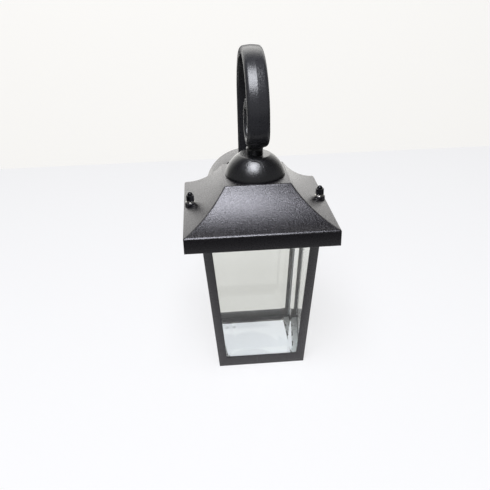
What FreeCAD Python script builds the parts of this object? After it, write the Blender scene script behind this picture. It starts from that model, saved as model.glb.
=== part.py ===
import FreeCAD, Part
import math
import os

# Black outdoor wall lantern: a crook arm on a deep round plate carries a pagoda roof,
# and a tapered cage of bevelled glass hangs under the roof on two studs.
# Millimetres. The origin is the middle of the plate's wall face.
# +X is right as seen from the room, +Y goes into the wall, +Z is up.
# Heights named "above the eaves" start at the lower edge of the roof's skirt.

# Where the lantern hangs
axis_to_wall = 148.0
eaves_height = 17.5

# Roof casting
roof_width = 165.0
skirt_height = 17.4
roof_rise = 37.6
roof_top_width = 72.0
slope_hollow = 4.7
roof_wall = 2.2
edge_round = 1.0

# Studs, bosses and acorn nuts that hold the cage up
stud_inset = 8.1
stud_radius = 2.0
boss_radius = 6.2
boss_stand = 0.27
boss_hole_radius = 2.3
washer_radius = 5.2
washer_thickness = 1.0
nut_flats = 8.0
nut_height = 11.3
nut_hex_height = 6.0
nut_chamfer = 0.8
nut_step = 0.3
nut_end_gap = 0.8
stud_end_gap = 4.0
nut_clearance = 0.05
nut_gap = 0.1

# Cage casting
cage_width_top = 127.8
cage_width_low = 102.2
cage_drop = 172.0
frame_wall = 2.0
post_width = 10.0
low_rail_height = 13.0
ledge_width = 13.0
window_top_drop = 4.0
rim_width = 6.0
rim_low = 3.0
rim_thickness = 3.0
ear_width = 22.0
ear_round = 5.0
ear_clearance = 1.1

# Glass
pane_middle = 5.0
pane_edge = 1.8
pane_bevel = 19.0
pane_clearance = 0.05
bottom_pane_thickness = 3.0
sealant_leg = 2.4
drop_radius = 2.2
drop_height = 1.3
drop_spots = ((-0.81, 0.60), (-0.62, 0.63))

# Dome cap and collar
dome_radius = 33.8
dome_height = 27.8
dome_wall = 1.8
dome_lip = 1.2
dome_seat_radius = 17.5
collar_radius = 9.3
collar_round = 1.3

# Crook arm
arm_width = 24.4
arm_thickness = 10.0
arm_ridge = 1.0
arm_corner = 1.4
arch_radius = 66.0
arch_reach = 37.0
arch_centre = 122.0
eye_radius = 26.5
eye_lift = 0.1
eye_turn = 275.0
eye_button = 6.0
arm_boss_radius = 9.0
arm_boss_low = 86.0
arm_boss_high = 95.0
foot_above = 24.0
foot_below = 22.0

# Back plate
plate_radius = 55.6
plate_face_radius = 53.2
plate_wall = 2.0
plate_round = 5.0
side_screw_radius = 2.35
side_screw_angle = 117.5
side_screw_from_face = 8.0
arm_screw_spacing = 24.0
arm_screw_radius = 2.5
arm_screw_head_radius = 4.5
arm_screw_head = 3.0
arm_screw_length = 9.0

# Threaded tube and lamp holder
nipple_radius = 5.0
nipple_bore = 3.5
nipple_clearance = 0.05
tube_play = 0.2
nipple_low = 45.0
nipple_high = 97.0
lock_washer_radius = 9.5
lock_washer_thickness = 1.0
lock_nut_flats = 14.0
lock_nut_height = 4.0
strap_length = 42.0
strap_width = 16.0
strap_thickness = 1.6
strap_screw_spacing = 29.0
strap_screw_radius = 1.6
strap_screw_length = 8.0
strap_screw_head_radius = 3.0
strap_screw_head = 1.8
screw_end_gap = 0.5
strap_corner = 3.0
holder_radius = 19.0
holder_height = 48.0
holder_chamfer = 1.5
shell_radius = 14.2
shell_wall = 0.6
shell_length = 30.0
shell_setback = 3.0
shell_play = 0.02
contact_radius = 4.0
contact_height = 2.0


tube_hole = nipple_radius + tube_play


def vec(x, y, z):
    return FreeCAD.Vector(x, y, z)


def at_lantern(shape):
    # Moves a piece drawn on the lantern's axis, with zero at the eaves, to its place.
    shape.translate(vec(0.0, -axis_to_wall, eaves_height))
    return shape


def cylinder(radius, low, high, x=0.0, y=0.0):
    return Part.makeCylinder(radius, high - low, vec(x, y, low))


def ring(outer, inner, low, high, x=0.0, y=0.0):
    return cylinder(outer, low, high, x, y).cut(cylinder(inner, low - 1.0, high + 1.0, x, y))


def hexagon(flats, low, high, x=0.0, y=0.0):
    corner = flats / 2.0 / math.cos(math.pi / 6.0)
    points = [vec(x + corner * math.sin(i * math.pi / 3.0), y + corner * math.cos(i * math.pi / 3.0), low)
              for i in range(7)]
    return Part.Face(Part.makePolygon(points)).extrude(vec(0.0, 0.0, high - low))


def square_at(half, z):
    return [vec(-half, -half, z), vec(half, -half, z), vec(half, half, z), vec(-half, half, z)]


def skin(low, high):
    # A closed solid with flat sides between two rings of points.
    count = len(low)
    rings = [low, high] + [[low[i], low[(i + 1) % count], high[(i + 1) % count], high[i]] for i in range(count)]
    shell = Part.Shell([Part.Face(Part.makePolygon(ring + ring[:1])) for ring in rings])
    shell.sewShape()
    solid = Part.Solid(shell)
    if solid.Volume < 0.0:
        solid.reverse()
    return solid


def frustum(low_half, low, high_half, high):
    return skin(square_at(low_half, low), square_at(high_half, high))


def turned(edges):
    # Revolves a closed outline, drawn in the XZ plane, about the Z axis.
    return Part.Face(Part.Wire(edges)).revolve(vec(0.0, 0.0, 0.0), vec(0.0, 0.0, 1.0), 360.0)


def line(a, b):
    return Part.LineSegment(vec(a[0], 0.0, a[1]), vec(b[0], 0.0, b[1])).toShape()


def arc(a, middle, b):
    return Part.Arc(vec(a[0], 0.0, a[1]), vec(middle[0], 0.0, middle[1]), vec(b[0], 0.0, b[1])).toShape()


def outline(points):
    return [line(points[i], points[(i + 1) % len(points)]) for i in range(len(points))]


def arc_points(x, z, radius, start, stop, count):
    # Points along an arc, so that a curve is made of a few plain bands.
    angles = [math.radians(start + (stop - start) * i / count) for i in range(count + 1)]
    return [(x + radius * math.cos(a), z + radius * math.sin(a)) for a in angles]


# Roof

roof_half = roof_width / 2.0
roof_top_half = roof_top_width / 2.0
roof_height = skirt_height + roof_rise
stud_offset = roof_half - stud_inset
ear_reach = roof_half - roof_wall - ear_clearance
rim_top = rim_low + rim_thickness


def slope_circle():
    # Centre and radius of the hollow curve between the skirt's top edge and the flat top.
    run = roof_half - roof_top_half
    chord = math.hypot(run, roof_rise)
    radius = chord * chord / 8.0 / slope_hollow + slope_hollow / 2.0
    out_x = roof_rise / chord
    out_z = run / chord
    lift = radius - slope_hollow
    middle_x = (roof_half + roof_top_half) / 2.0
    middle_z = skirt_height + roof_rise / 2.0
    return middle_x + out_x * lift, middle_z + out_z * lift, radius, out_x, out_z


def slope_height(x):
    centre_x, centre_z, radius, out_x, out_z = slope_circle()
    return centre_z - math.sqrt(radius ** 2 - (x - centre_x) ** 2)


boss_top = slope_height(stud_offset - washer_radius) + boss_stand


def roof_prism(inset, low):
    # One pair of slopes with the skirt and the flat top, run through along Y.
    centre_x, centre_z, radius, out_x, out_z = slope_circle()
    reach = radius + inset
    half = roof_half - inset
    top = roof_height - inset
    eave_z = centre_z - math.sqrt(reach ** 2 - (half - centre_x) ** 2)
    top_x = centre_x - math.sqrt(reach ** 2 - (top - centre_z) ** 2)
    middle = (centre_x - out_x * reach, centre_z - out_z * reach)
    edges = [line((-half, low), (half, low)), line((half, low), (half, eave_z)),
             arc((half, eave_z), middle, (top_x, top)), line((top_x, top), (-top_x, top)),
             arc((-top_x, top), (-middle[0], middle[1]), (-half, eave_z)), line((-half, eave_z), (-half, low))]
    prism = Part.Face(Part.Wire(edges)).extrude(vec(0.0, 2.0 * half, 0.0))
    prism.translate(vec(0.0, -half, 0.0))
    return prism


def long_edges(solid, level):
    # Edges along Y that are higher than a level.
    return [e for e in solid.Edges
            if e.BoundBox.YLength > 1.0 and e.BoundBox.XLength < 0.01 and e.BoundBox.ZLength < 0.01
            and e.BoundBox.ZMin > level]


def crossed(prism):
    turned_prism = prism.copy()
    turned_prism.rotate(vec(0.0, 0.0, 0.0), vec(0.0, 0.0, 1.0), 90.0)
    return prism.common(turned_prism)


def make_roof():
    prism = roof_prism(0.0, 0.0)
    body = crossed(prism.makeFillet(edge_round, long_edges(prism, 1.0)))
    block = Part.makeBox(roof_width, roof_width, roof_height, vec(-roof_half, -roof_half, 0.0))
    corners = [e for e in block.Edges if e.BoundBox.ZLength > 1.0]
    body = body.common(block.makeFillet(edge_round, corners))
    body = body.cut(crossed(roof_prism(roof_wall, -roof_wall)))
    for side in (-1.0, 1.0):
        body = body.fuse(cylinder(boss_radius, rim_top, boss_top, side * stud_offset))
    body = body.removeSplitter()
    for side in (-1.0, 1.0):
        body = body.cut(cylinder(boss_hole_radius, 0.0, 2.0 * boss_top, side * stud_offset))
    return body.cut(cylinder(tube_hole, roof_height - 2.0 * roof_wall, roof_height + roof_wall))


# Dome cap, collar and threaded tube

dome_rise = dome_height - dome_lip
dome_ball = (dome_radius ** 2 + dome_rise ** 2) / 2.0 / dome_rise
dome_centre = roof_height + dome_height - dome_ball
dome_seat = dome_centre + math.sqrt(dome_ball ** 2 - dome_seat_radius ** 2)


def ball_angle(radius, z):
    return math.degrees(math.asin((z - dome_centre) / radius))


def make_dome():
    base = roof_height
    lip = base + dome_lip
    inner_ball = dome_ball - dome_wall
    inner_top = dome_seat - dome_wall
    outer = arc_points(0.0, dome_centre, dome_ball, ball_angle(dome_ball, lip),
                       ball_angle(dome_ball, dome_seat), 6)
    inner = arc_points(0.0, dome_centre, inner_ball, ball_angle(inner_ball, inner_top),
                       ball_angle(inner_ball, base), 3)
    hole = [(tube_hole, dome_seat), (tube_hole, inner_top)]
    return turned(outline([(dome_radius, base)] + outer + hole + inner))


def make_collar():
    low = dome_seat
    high = arm_boss_low
    edge = collar_radius - collar_round
    lower = arc_points(edge, low + collar_round, collar_round, -90.0, 0.0, 1)
    upper = arc_points(edge, high - collar_round, collar_round, 0.0, 90.0, 2)
    return turned(outline([(tube_hole, low)] + lower + upper + [(tube_hole, high)]))


def make_nipple():
    return ring(nipple_radius, nipple_bore, nipple_low, nipple_high)


# Crook arm, drawn in the plane of X zero


def plate_depth():
    # The arm's back run lies flat on the plate, so the plate fills what is left to the wall.
    return axis_to_wall - arch_reach - arch_radius


def make_arm():
    half = arm_thickness / 2.0
    wide = arm_width / 2.0
    arch = arch_radius - half
    eye = eye_radius - half
    back_y = arch_reach + arch
    front_y = arch_reach - arch
    eye_y = front_y + eye
    eye_centre = arm_boss_low + eye_lift + eye_radius
    foot_z = -eaves_height - foot_below

    def at(y, z):
        return vec(0.0, y, z)

    def bent(y, z, radius, start, sweep):
        points = [at(y + radius * math.cos(math.radians(a)), z + radius * math.sin(math.radians(a)))
                  for a in (start, start + sweep / 2.0, start + sweep)]
        return Part.Arc(points[0], points[1], points[2]).toShape()

    path = Part.Wire([
        Part.LineSegment(at(back_y, foot_z), at(back_y, arch_centre)).toShape(),
        bent(arch_reach, arch_centre, arch, 0.0, 180.0),
        Part.LineSegment(at(front_y, arch_centre), at(front_y, eye_centre)).toShape(),
        bent(eye_y, eye_centre, eye, 180.0, eye_turn)])
    edge = half - arm_ridge
    section = [(-wide, arm_corner - half), (arm_corner - wide, -half), (wide - arm_corner, -half),
               (wide, arm_corner - half), (wide, edge - arm_corner), (wide - arm_corner, edge), (0.0, half),
               (arm_corner - wide, edge), (-wide, edge - arm_corner)]
    corners = [vec(x, back_y + y, foot_z) for x, y in section]
    band = path.makePipeShell([Part.makePolygon(corners + corners[:1])], True, False)
    end = math.radians(180.0 + eye_turn)
    button = Part.makeCylinder(eye_button, arm_width, vec(-wide, eye_y + eye * math.cos(end),
                               eye_centre + eye * math.sin(end)), vec(1.0, 0.0, 0.0))
    foot = Part.makeBox(arm_width, half, foot_above + foot_below, vec(-wide, back_y, foot_z))
    boss = cylinder(arm_boss_radius, arm_boss_low, arm_boss_high)
    arm = band.fuse([button, foot, boss])
    toe_corner = vec(-arm_width, back_y - 2.0 * half, foot_z - wide)
    toe = Part.makeBox(2.0 * arm_width, 4.0 * half, 2.0 * wide, toe_corner)
    toe_round = vec(0.0, back_y - 3.0 * half, foot_z + wide)
    toe = toe.cut(Part.makeCylinder(wide, 6.0 * half, toe_round, vec(0.0, 1.0, 0.0)))
    arm = arm.cut(toe).removeSplitter()
    arm = arm.cut(cylinder(nipple_radius + nipple_clearance, arm_boss_low - 1.0, nipple_high + 0.5))
    for z in arm_screw_heights():
        mouth = vec(0.0, back_y + half + 0.01, z - eaves_height)
        arm = arm.cut(Part.makeCylinder(arm_screw_radius, arm_screw_length, mouth, vec(0.0, -1.0, 0.0)))
    return arm


# Back plate, turned about Y

def arm_screw_heights():
    return (arm_screw_spacing / 2.0, -arm_screw_spacing / 2.0)


def make_plate():
    depth = plate_depth()
    bend_x = plate_face_radius - plate_round
    bend_z = depth - plate_round
    rim = [(plate_radius - plate_wall, 0.0), (plate_radius, 0.0)]
    outer = arc_points(bend_x, bend_z, plate_round, 0.0, 90.0, 3)
    inner = arc_points(bend_x, bend_z, plate_round - plate_wall, 90.0, 0.0, 2)
    face = [(0.0, depth), (0.0, depth - plate_wall)]
    shell = turned(outline(rim + outer + face + inner))
    shell.rotate(vec(0.0, 0.0, 0.0), vec(1.0, 0.0, 0.0), 90.0)
    angle = math.radians(side_screw_angle)
    middle = vec(0.0, side_screw_from_face - depth, 0.0)
    for side in (1.0, -1.0):
        out = vec(side * math.cos(angle), 0.0, side * math.sin(angle))
        shell = shell.cut(Part.makeCylinder(side_screw_radius, 2.0 * plate_radius, middle, out))
    for z in arm_screw_heights():
        radius = arm_screw_radius + tube_play
        hole = Part.makeCylinder(radius, 2.0 * depth, vec(0.0, 0.0, z), vec(0.0, -1.0, 0.0))
        shell = shell.cut(hole)
    return shell


def make_arm_screws():
    seat = -plate_depth() + plate_wall
    screws = []
    for z in arm_screw_heights():
        shank = Part.makeCylinder(arm_screw_radius, plate_wall + arm_screw_length - 1.0, vec(0.0, seat, z),
                                  vec(0.0, -1.0, 0.0))
        head = Part.makeCylinder(arm_screw_head_radius, arm_screw_head, vec(0.0, seat, z), vec(0.0, 1.0, 0.0))
        screws.append(shank.fuse(head).removeSplitter())
    return Part.makeCompound(screws)


# Cage

cage_slope = (cage_width_top - cage_width_low) / 2.0 / cage_drop
cage_tilt = math.atan(cage_slope)
cage_low = -cage_drop


def cage_half(z):
    # Half the cage's outer width at a height above the eaves.
    return cage_width_top / 2.0 + cage_slope * z


def cage_inset(distance):
    # What a distance square to the leaning wall comes to along the level.
    return distance / math.cos(cage_tilt)


def make_cage():
    wall = cage_inset(frame_wall)
    frame = frustum(cage_half(cage_low), cage_low, cage_half(rim_top), rim_top)
    hollow_low = cage_low + frame_wall
    hollow = frustum(cage_half(hollow_low) - wall, hollow_low, cage_half(rim_top + 1.0) - wall, rim_top + 1.0)
    frame = frame.cut(hollow)
    opening = cage_width_low / 2.0 - ledge_width
    frame = frame.cut(frustum(opening, cage_low - 1.0, opening, hollow_low + 1.0))
    low = cage_low + low_rail_height
    high = -window_top_drop
    window = Part.Face(Part.makePolygon([vec(x, -roof_width, z) for x, z in (
        (post_width - cage_half(low), low), (cage_half(low) - post_width, low),
        (cage_half(high) - post_width, high), (post_width - cage_half(high), high),
        (post_width - cage_half(low), low))])).extrude(vec(0.0, 2.0 * roof_width, 0.0))
    frame = frame.cut(window)
    window.rotate(vec(0.0, 0.0, 0.0), vec(0.0, 0.0, 1.0), 90.0)
    frame = frame.cut(window)
    rim_half = cage_half(rim_top) + rim_width
    rim = frustum(rim_half, rim_low, rim_half, rim_top)
    ears = Part.makeBox(2.0 * ear_reach, ear_width, rim_thickness, vec(-ear_reach, -ear_width / 2.0, rim_low))
    ear_edges = [e for e in ears.Edges if e.BoundBox.ZLength > 1.0]
    rim = rim.fuse(ears.makeFillet(ear_round, ear_edges)).cut(hollow)
    frame = frame.fuse(rim).removeSplitter()
    for side in (-1.0, 1.0):
        frame = frame.cut(cylinder(stud_radius + 0.02, rim_low - 1.0, rim_top + 1.0, side * stud_offset))
    return frame


# Glass and its sealant

pane_face = frame_wall + pane_clearance
bevel_slope = (pane_middle - pane_edge) / pane_bevel
long_pane_edge = frame_wall + 0.3
short_pane_edge = pane_face + pane_edge + bevel_slope * pane_edge + 2.0 * pane_clearance
pane_low = cage_low + frame_wall + 0.2
pane_high = rim_top - 0.5


def make_pane(edge):
    # One pane drawn flat, bevelled side towards +Y, then leaned against the front of the cage.
    # Its upright edges stay a set distance from the planes of the next two sides of the cage.
    slant = 1.0 / math.cos(cage_tilt)
    v_low = (pane_low - cage_low) * slant
    v_high = (pane_high - cage_low) * slant

    def half(v):
        return cage_half(cage_low + v / slant) - cage_inset(edge)

    def loop(inset, depth):
        side = inset / math.cos(math.atan(cage_slope / slant))
        a = v_low + inset
        b = v_high - inset
        return [vec(side - half(a), depth, a), vec(half(a) - side, depth, a),
                vec(half(b) - side, depth, b), vec(side - half(b), depth, b)]

    plate = skin(loop(0.0, 0.0), loop(0.0, pane_edge))
    pane = plate.fuse(skin(loop(0.0, pane_edge), loop(pane_bevel, pane_middle)))
    pane.translate(vec(0.0, pane_face, 0.0))
    pane.rotate(vec(0.0, 0.0, 0.0), vec(1.0, 0.0, 0.0), math.degrees(cage_tilt))
    pane.translate(vec(0.0, -cage_half(cage_low), cage_low))
    return pane


def turned_about_axis(shape, angle):
    copy = shape.copy()
    copy.rotate(vec(0.0, 0.0, 0.0), vec(0.0, 0.0, 1.0), angle)
    return copy


def bottom_pane_half():
    low = cage_low + frame_wall
    reach = pane_face + pane_edge + bevel_slope * bottom_pane_thickness
    return cage_half(low) - cage_inset(reach) - 4.0 * pane_clearance


def make_bottom_pane():
    half = bottom_pane_half()
    return Part.makeBox(2.0 * half, 2.0 * half, bottom_pane_thickness, vec(-half, -half, cage_low + frame_wall))


def make_corner_sealant():
    # A bead in each corner. Its two legs follow the bevels of the panes that meet there.
    inner = pane_face + pane_edge + 0.03
    from_front = inner + bevel_slope * (inner - long_pane_edge)
    from_side = inner + bevel_slope * (from_front - short_pane_edge)
    rise = bevel_slope * sealant_leg

    def corner(z):
        half = cage_half(z)
        legs = [(from_side, from_front), (from_side + sealant_leg, from_front + rise),
                (from_side + rise, from_front + sealant_leg), (from_side, from_front)]
        return Part.makePolygon([vec(half - cage_inset(a), cage_inset(b) - half, z) for a, b in legs])

    low = cage_low + frame_wall + bottom_pane_thickness + 0.2
    bead = Part.makeLoft([corner(low), corner(pane_high - 6.0)], True, True)
    mirrored = bead.mirror(vec(0.0, 0.0, 0.0), vec(1.0, 0.0, 0.0))
    beads = [bead, mirrored, turned_about_axis(bead, 180.0), turned_about_axis(mirrored, 180.0)]
    return Part.makeCompound(beads)


def make_sealant_drops():
    base = cage_low + frame_wall + bottom_pane_thickness
    drops = []
    for share_x, share_y in drop_spots:
        lump = turned(outline([(0.0, 0.0), (drop_radius, 0.0), (0.5 * drop_radius, drop_height),
                               (0.0, drop_height)]))
        lump.translate(vec(share_x * bottom_pane_half(), share_y * bottom_pane_half(), base))
        drops.append(lump)
    return Part.makeCompound(drops)


# Studs, washers and acorn nuts

nut_low = boss_top + washer_thickness + nut_gap
stud_top = nut_low + nut_height - stud_end_gap


def make_stud(side):
    return cylinder(stud_radius, rim_low, stud_top, side * stud_offset)


def make_washer(side):
    high = boss_top + washer_thickness
    return ring(washer_radius, stud_radius + tube_play, boss_top, high, side * stud_offset)


def make_nut(side):
    x = side * stud_offset
    flat = nut_flats / 2.0
    corner = flat / math.cos(math.pi / 6.0)
    shoulder = nut_low + nut_hex_height
    radius = flat - nut_step
    blank = turned(outline([(0.0, nut_low), (corner, nut_low), (corner, shoulder - nut_chamfer),
                            (flat, shoulder), (0.0, shoulder)]))
    tip = arc_points(0.0, nut_low + nut_height - radius, radius, 0.0, 90.0, 3)
    cap = turned(outline([(0.0, shoulder - nut_chamfer), (radius, shoulder - nut_chamfer)] + tip))
    body = blank.common(hexagon(nut_flats, nut_low, shoulder)).fuse(cap)
    body = body.cut(cylinder(stud_radius + nut_clearance, 0.0, stud_top + nut_end_gap))
    body.translate(vec(x, 0.0, 0.0))
    return body


# Lamp holder under the roof

washer_high = roof_height - roof_wall
washer_low = washer_high - lock_washer_thickness
lock_nut_low = washer_low - lock_nut_height
strap_low = lock_nut_low - strap_thickness
holder_low = strap_low - holder_height
shell_high = holder_low + shell_length


def strap_screw_places():
    return (-strap_screw_spacing / 2.0, strap_screw_spacing / 2.0)


def make_lock_washer():
    return ring(lock_washer_radius, tube_hole, washer_low, washer_high)


def make_lock_nut():
    return hexagon(lock_nut_flats, lock_nut_low, washer_low).cut(
        cylinder(nipple_radius + nipple_clearance, lock_nut_low - 1.0, washer_low + 1.0))


def make_strap():
    strap = Part.makeBox(strap_length, strap_width, strap_thickness,
                         vec(-strap_length / 2.0, -strap_width / 2.0, strap_low))
    strap = strap.makeChamfer(strap_corner, [e for e in strap.Edges if e.BoundBox.ZLength > 1.0])
    strap = strap.cut(cylinder(nipple_radius + nipple_clearance, strap_low - 1.0, lock_nut_low + 1.0))
    for x in strap_screw_places():
        strap = strap.cut(cylinder(strap_screw_radius + tube_play, strap_low - 1.0, lock_nut_low + 1.0, x))
    return strap


def make_strap_screws():
    screws = []
    for x in strap_screw_places():
        shank = cylinder(strap_screw_radius, strap_low - strap_screw_length, lock_nut_low, x)
        head = cylinder(strap_screw_head_radius, lock_nut_low, lock_nut_low + strap_screw_head, x)
        screws.append(shank.fuse(head).removeSplitter())
    return Part.makeCompound(screws)


def make_holder():
    edge = holder_radius - holder_chamfer
    body = turned(outline([(0.0, holder_low), (edge, holder_low), (holder_radius, holder_low + holder_chamfer),
                           (holder_radius, strap_low - holder_chamfer), (edge, strap_low), (0.0, strap_low)]))
    body = body.cut(cylinder(shell_radius, holder_low - shell_wall, shell_high + contact_height))
    body = body.cut(cylinder(nipple_radius + screw_end_gap, nipple_low - screw_end_gap, lock_nut_low))
    for x in strap_screw_places():
        depth = strap_screw_length + screw_end_gap
        body = body.cut(cylinder(strap_screw_radius, strap_low - depth, lock_nut_low, x))
    return body


def make_shell():
    low = holder_low + shell_setback
    return ring(shell_radius - shell_play, shell_radius - shell_wall, low, shell_high)


def make_contact():
    low = shell_high
    high = low + contact_height
    return turned(outline([(0.0, low), (0.55 * contact_radius, low),
                           (contact_radius, low + 0.7 * contact_height), (contact_radius, high), (0.0, high)]))


def build():
    long_pane = make_pane(long_pane_edge)
    short_pane = make_pane(short_pane_edge)
    lantern = {
        "roof": make_roof(),
        "dome_cap": make_dome(),
        "collar": make_collar(),
        "nipple": make_nipple(),
        "hook_arm": make_arm(),
        "lock_washer": make_lock_washer(),
        "lock_nut": make_lock_nut(),
        "socket_strap": make_strap(),
        "strap_screws": make_strap_screws(),
        "lamp_holder": make_holder(),
        "screw_shell": make_shell(),
        "centre_contact": make_contact(),
        "cage_frame": make_cage(),
        "front_pane": long_pane,
        "right_pane": turned_about_axis(short_pane, 90.0),
        "back_pane": turned_about_axis(long_pane, 180.0),
        "left_pane": turned_about_axis(short_pane, 270.0),
        "bottom_pane": make_bottom_pane(),
        "corner_sealant": make_corner_sealant(),
        "sealant_drops": make_sealant_drops(),
    }
    for name, side in (("left", -1.0), ("right", 1.0)):
        lantern[name + "_stud"] = make_stud(side)
        lantern[name + "_washer"] = make_washer(side)
        lantern[name + "_cap_nut"] = make_nut(side)
    nodes = {name: at_lantern(shape) for name, shape in lantern.items()}
    nodes["back_plate"] = make_plate()
    nodes["arm_screws"] = make_arm_screws()
    return nodes


os.makedirs("parts", exist_ok=True)
for name, shape in build().items():
    shape.exportStep("parts/" + name + ".step")
    box = shape.BoundBox
    print("%-15s %s solids %d valid %s  x %.1f %.1f  y %.1f %.1f  z %.1f %.1f  volume %.0f" % (
        name, shape.ShapeType, len(shape.Solids), shape.isValid(), box.XMin, box.XMax, box.YMin, box.YMax,
        box.ZMin, box.ZMax, shape.Volume))
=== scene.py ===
import bpy
import math
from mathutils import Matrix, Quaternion, Vector


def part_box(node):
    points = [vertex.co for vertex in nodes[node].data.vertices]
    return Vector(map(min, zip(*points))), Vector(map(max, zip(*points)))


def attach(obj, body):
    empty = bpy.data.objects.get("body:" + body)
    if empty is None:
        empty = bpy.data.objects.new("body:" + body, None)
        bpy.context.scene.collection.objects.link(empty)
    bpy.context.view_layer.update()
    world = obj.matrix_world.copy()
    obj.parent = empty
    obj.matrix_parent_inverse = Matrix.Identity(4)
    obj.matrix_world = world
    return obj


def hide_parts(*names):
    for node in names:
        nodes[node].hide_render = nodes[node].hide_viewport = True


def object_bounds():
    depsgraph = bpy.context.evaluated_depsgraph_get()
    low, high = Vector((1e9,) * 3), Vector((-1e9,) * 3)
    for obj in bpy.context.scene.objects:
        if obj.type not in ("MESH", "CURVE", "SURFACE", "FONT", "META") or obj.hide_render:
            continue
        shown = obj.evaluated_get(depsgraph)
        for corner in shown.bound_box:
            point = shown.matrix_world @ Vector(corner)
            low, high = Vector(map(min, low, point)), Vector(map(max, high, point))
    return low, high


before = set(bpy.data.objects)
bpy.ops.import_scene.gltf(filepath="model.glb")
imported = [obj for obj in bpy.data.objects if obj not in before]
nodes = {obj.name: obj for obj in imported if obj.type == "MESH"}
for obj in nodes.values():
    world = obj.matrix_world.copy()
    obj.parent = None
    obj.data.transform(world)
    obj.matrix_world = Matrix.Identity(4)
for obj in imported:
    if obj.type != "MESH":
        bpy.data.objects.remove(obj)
cadLow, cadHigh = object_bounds()
bpy.ops.object.select_all(action="DESELECT")
print("frame loaded:", len(nodes), "nodes")

mm = 0.001
weld = 0.002 * mm  # points nearer than this are one point
near = 0.005 * mm
roofLow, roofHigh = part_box("roof")
axisY = (roofLow.y + roofHigh.y) / 2.0  # the lantern's upright axis stands at x 0 and this y
eaves = roofLow.z


# Small helpers for materials

def linear(hexColour):
    channels = [int(hexColour[i:i + 2], 16) / 255 for i in (1, 3, 5)]
    return [c / 12.92 if c <= 0.04045 else ((c + 0.055) / 1.055) ** 2.4 for c in channels] + [1.0]


def addNode(tree, kind, settings=None, values=None, links=None):
    node = tree.nodes.new(kind)
    for name, value in (settings or {}).items():
        setattr(node, name, value)
    for name, value in (values or {}).items():
        node.inputs[name].default_value = value
    for name, source in (links or {}).items():
        tree.links.new(source, node.inputs[name])
    return node


def newMaterial(name):
    material = bpy.data.materials.new(name)
    material.use_nodes = True
    tree = material.node_tree
    tree.nodes.clear()
    return material, tree, addNode(tree, "ShaderNodeTexCoord").outputs["Object"]


def perMetre(sizeMm):
    return 1000.0 / sizeMm  # texture scale for a feature of that size


def paint(names, material):
    for name in names:
        slots = nodes[name].data.materials
        slots.clear()
        slots.append(material)


# Small helpers for modelling

def spot(x, y, height):
    return Vector((x * mm, axisY + y * mm, eaves + height * mm))  # from the lantern's axis and eaves


def heightOf(z):
    return (z - eaves) / mm


def turnedSize(node):
    # Where a round upright piece stands in X, its foot, its top and its radius, in millimetres.
    low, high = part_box(node)
    return (low.x + high.x) / 2.0 / mm, heightOf(low.z), heightOf(high.z), (high.x - low.x) / 2.0 / mm


def only(piece):
    bpy.ops.object.select_all(action="DESELECT")
    piece.select_set(True)
    bpy.context.view_layer.objects.active = piece


def pick(piece, kind, test):
    # Selects the vertices or edges whose points all pass the test, and stays in edit mode.
    bpy.ops.object.mode_set(mode="EDIT")
    bpy.ops.mesh.select_mode(type=kind)
    bpy.ops.mesh.select_all(action="DESELECT")
    bpy.ops.object.mode_set(mode="OBJECT")
    mesh = piece.data
    passed = [test(piece.matrix_world @ vertex.co) for vertex in mesh.vertices]
    if kind == "VERT":
        for vertex in mesh.vertices:
            vertex.select = passed[vertex.index]
    else:
        for edge in mesh.edges:
            edge.select = all(passed[i] for i in edge.vertices)
    bpy.ops.object.mode_set(mode="EDIT")


def arcLine(centre, radius, start, end, steps):
    turns = [math.radians(start + (end - start) * i / steps) for i in range(steps + 1)]
    return [(centre[0] + radius * math.cos(t), centre[1] + radius * math.sin(t)) for t in turns]


def drawProfile(name, points, rounds=()):
    # A plane merged to one vertex, drawn out from point to point, with some corners rounded.
    bpy.ops.object.select_all(action="DESELECT")
    bpy.ops.mesh.primitive_plane_add(size=0.01, location=points[0])
    piece = bpy.context.object
    piece.name = name
    bpy.ops.object.mode_set(mode="EDIT")
    bpy.ops.mesh.select_mode(type="VERT")
    bpy.ops.mesh.merge(type="CENTER")
    for start, end in zip(points, points[1:]):
        bpy.ops.mesh.extrude_vertices_move(TRANSFORM_OT_translate={"value": end - start})
    bpy.ops.mesh.select_all(action="SELECT")
    bpy.ops.mesh.remove_doubles(threshold=weld)
    for corner, size, segments in rounds:
        pick(piece, "VERT", lambda point: (point - corner).length < near)
        bpy.ops.mesh.bevel(affect="VERTICES", offset=size * mm, segments=segments)
    bpy.ops.mesh.select_all(action="SELECT")
    return piece


def mendNormals():
    bpy.ops.mesh.select_all(action="SELECT")
    bpy.ops.mesh.remove_doubles(threshold=weld)
    bpy.ops.mesh.normals_make_consistent(inside=False)
    bpy.ops.object.mode_set(mode="OBJECT")


def turn(name, profile, steps, rounds=(), place=spot, x=0.0):
    # A turned piece: the profile is (radius, height) in millimetres, and each of rounds is
    # (radius, height, size, segments).
    points = [place(x + radius, 0.0, height) for radius, height in profile]
    corners = [(place(x + radius, 0.0, height), size, segments) for radius, height, size, segments in rounds]
    piece = drawProfile(name, points, corners)
    axis = place(0.0, 0.0, 1.0) - place(0.0, 0.0, 0.0)
    bpy.ops.mesh.spin(steps=steps, angle=2.0 * math.pi, center=place(x, 0.0, 0.0), axis=axis.normalized())
    mendNormals()
    return piece


def roundEdges(piece, width, segments, angle):
    # Rounds every edge that turns by more than this angle.
    only(piece)
    modifier = piece.modifiers.new("rounded edges", "BEVEL")
    modifier.width = width * mm
    modifier.segments = segments
    modifier.limit_method = "ANGLE"
    modifier.angle_limit = math.radians(angle)
    bpy.ops.object.modifier_apply(modifier=modifier.name)


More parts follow.
